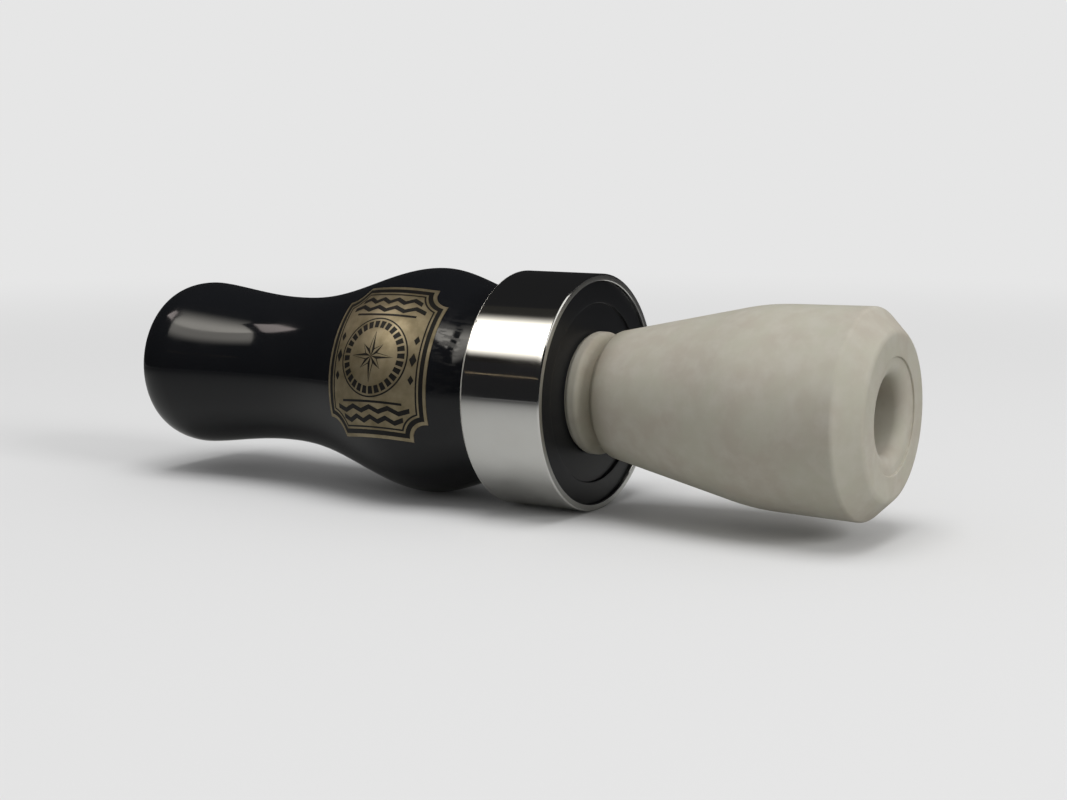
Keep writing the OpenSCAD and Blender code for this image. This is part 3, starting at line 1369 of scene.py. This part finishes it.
@dataclass
class ReedWorks:
    """The gut tube, the reed and the wedge, inside the call."""

    insert: Insert
    deck_in: float = 9.0
    deck_h: float = 0.9
    gap: float = 0.03
    reed_len: float = 33.0
    reed_w: float = 8.4
    reed_t: float = 0.3
    reed_tip_half: float = 0.15
    wedge_out: float = 3.0
    wedge_travel: float = 9.0
    flex_mm: float = 11.0
    weld_mm: float = 0.001
    flat_deg: float = 0.5
    sharp_deg: float = 40.0
    edge_mm: float = 0.08
    edge_steps: int = 2
    shaded_deg: float = 25.0

    @property
    def nose(self) -> float:
        """Place of the wedge's nose, where the reed leaves its clamp."""
        return self.insert.tenon - self.wedge_out

    def machined(self, node: str) -> Piece:
        """Copies a CAD node's mesh and breaks its edges, as a deburred piece has them.

        Args:
            node: CAD node.

        Returns:
            The deburred piece.
        """
        mesh = bmesh.new()
        mesh.from_mesh(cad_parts[node].data)
        bmesh.ops.remove_doubles(mesh, verts=mesh.verts, dist=self.weld_mm * MM)
        flat, sharp = math.radians(self.flat_deg), math.radians(self.sharp_deg)
        bmesh.ops.dissolve_limit(mesh, angle_limit=flat, verts=mesh.verts, edges=mesh.edges)
        mesh.normal_update()
        bmesh.ops.bevel(
            mesh,
            geom=[e for e in mesh.edges if e.is_manifold and e.calc_face_angle() > sharp],
            offset=self.edge_mm * MM,
            segments=self.edge_steps,
            profile=0.5,
            affect="EDGES",
            clamp_overlap=True,
        )
        return make_piece(f"{node}_machined", mesh, self.shaded_deg)

    def build_reed(self, columns: int = 66, rows: int = 12) -> Piece:
        """Builds the reed as a thin closed blade with a round tip.

        Args:
            columns: Facets along the reed.
            rows: Facets across it.

        Returns:
            The reed.
        """
        tail = self.insert.tenon + self.deck_in - self.gap
        tip = tail - self.reed_len
        half = self.reed_w / 2
        low = self.deck_h + self.gap
        sides = []
        for z in (low, low + self.reed_t):
            side = []
            for i in range(columns + 1):
                place = between(tip, tail, (1 - math.cos(math.pi * i / columns)) / 2)
                in_tip = max(0.0, 1 - (place - tip) / half)
                reach = max(self.reed_tip_half, half * math.sqrt(1 - in_tip * in_tip))
                across = [reach * (2 * k / rows - 1) for k in range(rows + 1)]
                side.append([self.insert.axis.point(place, y, z) for y in across])
            sides.append(side)
        return thin_sheet("reed_blade", *sides)

    def bend_reed(self, reed: Piece) -> None:
        """Bakes the reed's transform into its mesh; where the wedge clamps it is worked out, but the reed is
        not bent.

        Args:
            reed: The reed.
        """
        clamped = self.nose - self.wedge_travel
        start = self.insert.axis.point(clamped, 0, self.deck_h)
        stop = self.insert.axis.point(clamped - self.flex_mm, 0, self.deck_h)
        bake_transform(reed)

    def assemble(self) -> list[Piece]:
        """Builds and dresses the gut tube, the wedge and the reed.

        Returns:
            The dressed pieces.
        """
        milky = Acetal("machined_acetal_white", "#dcdbd3", "#cfcdc3").build()
        grey = Acetal("machined_acetal_grey", "#b9b8b0", "#a9a79e").build()
        tube = dress(self.machined("gut_tube"), milky, "gut", "gut_tube")
        wedge = dress(self.machined("wedge"), grey, "wedge", "wedge")
        reed = self.build_reed()
        reed.data.materials.append(PolyesterFilm().build())
        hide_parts("reed")
        self.bend_reed(reed)
        return [tube, wedge, reed]


def only_reflections(thing: Piece) -> None:
    """Hides a part of the set from all rays but those of reflections."""
    for ray in ("camera", "diffuse", "transmission", "volume_scatter", "shadow"):
        setattr(thing, f"visible_{ray}", False)


def glowing(name: str, tone: str, strength: float = 1.0) -> tuple[Material, Tree, Node]:
    """Starts a material that glows in one tone.

    Args:
        name: Name of the material.
        tone: Its sRGB hex colour.
        strength: Strength of the glow, which shows the tone as written at 1.

    Returns:
        The material, its node tree and its shader.
    """
    material = bpy.data.materials.new(name)
    material.use_nodes = True
    tree = material.node_tree
    tree.nodes.clear()
    glow = add_node(tree, "ShaderNodeEmission", {"Color": linear(tone), "Strength": strength})
    add_node(tree, "ShaderNodeOutputMaterial", {"Surface": glow.outputs["Emission"]})
    return material, tree, glow


@dataclass(frozen=True)
class Card:
    """A flat card that only reflections see, with its corners and its fade as shares of the tent's height."""

    name: str
    corners: tuple[Way, ...]
    tone: str
    strength: float
    fade_along: Way = (0.0, 0.0, 1.0)
    fade: Span | None = None
    shade: float = 0.015

    def build(self, foot: Vector, height: float) -> None:
        """Hangs the card.

        Args:
            foot: Point of the floor under the middle of the tent.
            height: Height of the tent in metres.
        """
        mesh = bmesh.new()
        mesh.faces.new([mesh.verts.new(foot + Vector(corner) * height) for corner in self.corners])
        card = make_piece(self.name, mesh)
        material, tree, glow = glowing(self.name, self.tone, self.strength)
        if self.fade is not None:
            dark, full = (share * height for share in self.fade)
            level = change(tree, self.shade, self.strength, dark, full, self.fade_along)
            plug(tree, glow, {"Strength": level})
        card.data.materials.append(material)
        only_reflections(card)


@dataclass(frozen=True)
class Softbox:
    """A soft lamp for matt surfaces; what shines shows the tent's cards instead."""

    name: str
    towards: Way
    level: float
    side: float = 0.8
    distance: float = 1.3

    def build(self, middle: Vector) -> None:
        """Hangs the lamp, facing the call.

        Args:
            middle: Middle of the call.
        """
        way = Vector(self.towards).normalized()
        lamp = bpy.data.lights.new(self.name, "AREA")
        lamp.shape = "SQUARE"
        lamp.size = self.side
        # A white surface that faces the lamp squarely gets this level of light from it
        lamp.energy = self.level * math.pi**2 * self.distance**2
        box = bpy.data.objects.new(self.name, lamp)
        bpy.context.scene.collection.objects.link(box)
        box.location = middle + way * self.distance
        box.rotation_mode = "QUATERNION"
        box.rotation_quaternion = way.to_track_quat("Z", "Y")
        box.visible_glossy = False


@dataclass
class Studio:
    """A pale paper floor in a light tent, with two softboxes and black cloth where the call mirrors black.

    Its sizes are in metres. What is lit, such as the floor near the call, and what is seen, such as the
    paper farther off, have tones of their own.
    """

    axis: Axis
    paper: str = "#e6e6e6"
    paper_lit: str = "#dddddd"
    bounce: str = "#c0c0be"
    bounce_far: str = "#2b2b2b"
    bounce_way: Way = (-0.52, -0.85, 0.0)
    bounce_fade: Span = (-0.01, 0.22)
    bounce_edge: Span = (0.065, 0.21)
    cloth: str = "#232324"
    fill: float = 0.45
    floor_size: float = 8.0
    paper_fade: Span = (0.15, 0.45)
    tent_height: float = 1.3
    cloth_radius: float = 2.8
    cloth_top_radius: float = 0.01
    cloth_tiers: int = 12
    cloth_sides: int = 64
    edge_radius: float = 0.24
    edge_height: float = 0.03
    lamps: tuple[Softbox, ...] = (
        Softbox("softbox_overhead", (0.04, -0.12, 0.99), 0.52),
        Softbox("softbox_at_exhaust", (0.88, -0.12, 0.46), 0.37, 0.5),
    )
    cards: tuple[Card, ...] = (
        Card(
            "tent_roof",
            (
                (-0.875, -0.55, 1),
                (-0.70, -0.33, 1),
                (-0.74, -0.22, 1),
                (-0.70, 0.02, 1),
                (-0.33, 0.02, 1),
                (-0.33, -1.17, 1),
            ),
            WARM_WHITE,
            6.0,
            fade_along=(-0.2, -1.0, 0.0),
            fade=(0.25, 0.77),
            shade=0.03,
        ),
        Card(
            "tent_front_flap",
            ((-0.20, -0.28, 1), (-0.01, -0.28, 1), (-0.01, -0.80, 1), (-0.16, -1.05, 1)),
            WARM_WHITE,
            6.5,
            fade_along=(0.0, -1.0, 0.0),
            fade=(0.28, 0.60),
        ),
        Card(
            "tent_rear_wall",
            ((-0.955, -0.49, 1), (-1.36, -0.14, 1), (-0.94, -0.13, 1), (-0.77, -0.25, 1)),
            "#fbeeea",
            3.9,
        ),
        Card(
            "tent_side_wall",
            ((-0.875, -0.55, 1), (-0.33, -1.17, 1), (-0.33, -1.17, 0.5), (-0.70, -0.764, 0.5)),
            WARM_WHITE,
            3.0,
            fade=(0.56, 0.82),
        ),
        Card(
            "tent_exhaust_wall",
            ((0.60, 0.28, 1), (0.64, 0.50, 1), (1.75, -0.35, 1), (1.45, -0.62, 1)),
            "#fbfaf6",
            1.2,
        ),
        # Painted shade in reflections: a grey card on the floor beside and beyond the insert, on its far
        # side, so that the black end face mirrors a darker floor there
        Card(
            "floor_shade_card",
            ((0.012, -0.01, 0.0008), (0.20, -0.01, 0.0008), (0.20, 0.20, 0.0008), (0.012, 0.20, 0.0008)),
            "#6c6c6c",
            1.0,
        ),
        Card(
            "tent_hem",
            ((-0.62, -0.856, 0.307), (-0.53, -0.956, 0.307), (-0.53, -0.956, 0.302), (-0.62, -0.856, 0.302)),
            "#e8cfa8",
            0.9,
        ),
    )

    def rays(self, tree: Tree) -> Socket:
        """Tells rays of the camera, of a reflection and through glass from the others.

        Args:
            tree: Node tree of a material or the world.

        Returns:
            1 for those rays, and 0 for the others.
        """
        path = add_node(tree, "ShaderNodeLightPath")
        total = path.outputs["Is Camera Ray"]
        for name in ("Is Glossy Ray", "Is Transmission Ray"):
            added = add_node(
                tree,
                "ShaderNodeMath",
                {0: total, 1: path.outputs[name]},
                {"operation": "ADD", "use_clamp": True},
            )
            total = added.outputs["Value"]
        return total

    def build_world(self) -> None:
        """Makes the world pale where it is seen and a dim fill where it lights."""
        world = bpy.data.worlds.new("studio_air")
        bpy.context.scene.world = world
        world.use_nodes = True
        tree = world.node_tree
        tree.nodes.clear()
        seen = add_node(tree, "ShaderNodeBackground", {"Color": linear(self.paper), "Strength": 1.0})
        lit = add_node(tree, "ShaderNodeBackground", {"Color": linear(WHITE), "Strength": self.fill})
        mixed = add_node(
            tree,
            "ShaderNodeMixShader",
            {0: self.rays(tree), 1: lit.outputs["Background"], 2: seen.outputs["Background"]},
        )
        add_node(tree, "ShaderNodeOutputWorld", {"Surface": mixed.outputs["Shader"]})

    def paper_material(self) -> Material:
        """Matt paper: lit and shadowed round the call, and in its own plain tone farther off.

        What the paper throws back on the call is dimmed in front of it and farther off, where the real
        table ended.

        Returns:
            The material.
        """
        material = bpy.data.materials.new("matt_studio_paper")
        material.use_nodes = True
        tree = material.node_tree
        tree.nodes.clear()
        in_front = change(tree, 0.0, 1.0, *self.bounce_fade, self.bounce_way)
        all_round = change(tree, 0.0, 1.0, *self.bounce_edge, None)
        dim = add_node(tree, "ShaderNodeMath", {0: in_front, 1: all_round}, {"operation": "MAXIMUM"})
        bounced = add_node(
            tree,
            "ShaderNodeMix",
            {"Factor": dim.outputs["Value"], "A": linear(self.bounce), "B": linear(self.bounce_far)},
            {"data_type": "RGBA"},
        )
        seen_by_camera = add_node(tree, "ShaderNodeLightPath").outputs["Is Camera Ray"]
        tone = add_node(
            tree,
            "ShaderNodeMix",
            {"Factor": seen_by_camera, "A": bounced.outputs["Result"], "B": linear(self.paper_lit)},
            {"data_type": "RGBA"},
        )
        lit = add_node(tree, "ShaderNodeBsdfDiffuse", {"Color": tone.outputs["Result"]})
        seen = add_node(tree, "ShaderNodeEmission", {"Color": linear(self.paper), "Strength": 1.0})
        plain = change(tree, 0.0, self.rays(tree), *self.paper_fade, None)
        mixed = add_node(
            tree, "ShaderNodeMixShader", {0: plain, 1: lit.outputs["BSDF"], 2: seen.outputs["Emission"]}
        )
        add_node(tree, "ShaderNodeOutputMaterial", {"Surface": mixed.outputs["Shader"]})
        return material

    def build_floor(self) -> None:
        """Builds the floor that the call lies on."""
        mesh = bmesh.new()
        half = self.floor_size / 2
        corners = ((-half, -half, 0), (half, -half, 0), (half, half, 0), (-half, half, 0))
        mesh.faces.new([mesh.verts.new(corner) for corner in corners])
        floor = make_piece("paper_floor", mesh)
        floor.data.materials.append(self.paper_material())

    def build_cloth(self) -> None:
        """Builds the black cloth: a dome behind the tent's cards, and a low ring where the table ends."""
        mesh = bmesh.new()
        rises = quarter_turn(self.cloth_tiers)[:-1]
        dome = [(self.cloth_radius * math.cos(rise), self.cloth_radius * math.sin(rise)) for rise in rises]
        dome.append((self.cloth_top_radius, self.cloth_radius))
        edge = [(self.edge_radius, 0.0), (self.edge_radius, self.edge_height)]
        around = [2 * math.pi * i / self.cloth_sides for i in range(self.cloth_sides)]
        for tier in (dome, edge):
            rings = [[mesh.verts.new((r * math.cos(a), r * math.sin(a), z)) for a in around] for r, z in tier]
            for lower, upper in zip(rings, rings[1:]):
                for i in range(self.cloth_sides):
                    k = (i + 1) % self.cloth_sides
                    mesh.faces.new((lower[i], lower[k], upper[k], upper[i]))
        cloth = make_piece("black_cloth", mesh)
        material, _, _ = glowing("black_duvetyne", self.cloth)
        cloth.data.materials.append(material)
        only_reflections(cloth)

    def build(self) -> None:
        """Builds the whole set."""
        middle = self.axis.point(0, 0, 0)
        self.build_world()
        self.build_floor()
        self.build_cloth()
        for card in self.cards:
            card.build(Vector((middle.x, middle.y, 0)), self.tent_height)
        for lamp in self.lamps:
            lamp.build(middle)


@dataclass(frozen=True)
class Camera:
    """The photograph's camera, fitted to the circles of the band, the collar and the exhaust."""

    axis: Axis
    azimuth_deg: float = 31.02
    elevation_deg: float = 8.13
    sensor_mm: float = 36.0
    photo_width_px: float = 1067.0
    focal_px: float = 1820.3
    # Middle of the band's front rim as the camera sees it: right, down and away, in millimetres
    rim_right: float = 8.85
    rim_down: float = -0.96
    rim_away: float = 244.6
    clip: Span = (0.01, 20.0)

    def build(self) -> None:
        """Places the camera."""
        a, e = math.radians(self.azimuth_deg), math.radians(self.elevation_deg)
        right = Vector((math.cos(a), math.sin(a), 0))
        back = Vector((math.sin(a) * math.cos(e), -math.cos(a) * math.cos(e), math.sin(e)))
        up = back.cross(right)
        lens = bpy.data.cameras.new("photo_camera")
        lens.sensor_fit = "HORIZONTAL"
        lens.sensor_width = self.sensor_mm
        lens.lens = self.sensor_mm * self.focal_px / self.photo_width_px
        lens.clip_start, lens.clip_end = self.clip
        camera = bpy.data.objects.new("photo_camera", lens)
        bpy.context.scene.collection.objects.link(camera)
        seen = (-self.rim_right * right + self.rim_down * up + self.rim_away * back) * MM
        camera.location = self.axis.point(0, 0, 0) + seen
        camera.rotation_mode = "QUATERNION"
        camera.rotation_quaternion = Matrix((right, up, back)).transposed().to_quaternion()
        bpy.context.scene.camera = camera


def main() -> None:
    """Builds the camera, the studio and the call, and reports each piece of the call."""
    logging.basicConfig(level=logging.INFO, format="%(name)s: %(message)s")
    bpy.context.scene.view_settings.view_transform = "Standard"
    axis = Axis.from_frame()
    Camera(axis).build()
    Studio(axis).build()

    barrel, insert = Barrel(axis), Insert(axis)
    for assembly in (barrel, Badge(barrel), insert, ReedWorks(insert)):
        for piece in assembly.assemble():
            LOG.info("%s has %d faces", piece.name, len(piece.data.polygons))


if __name__ == "__main__":
    main()
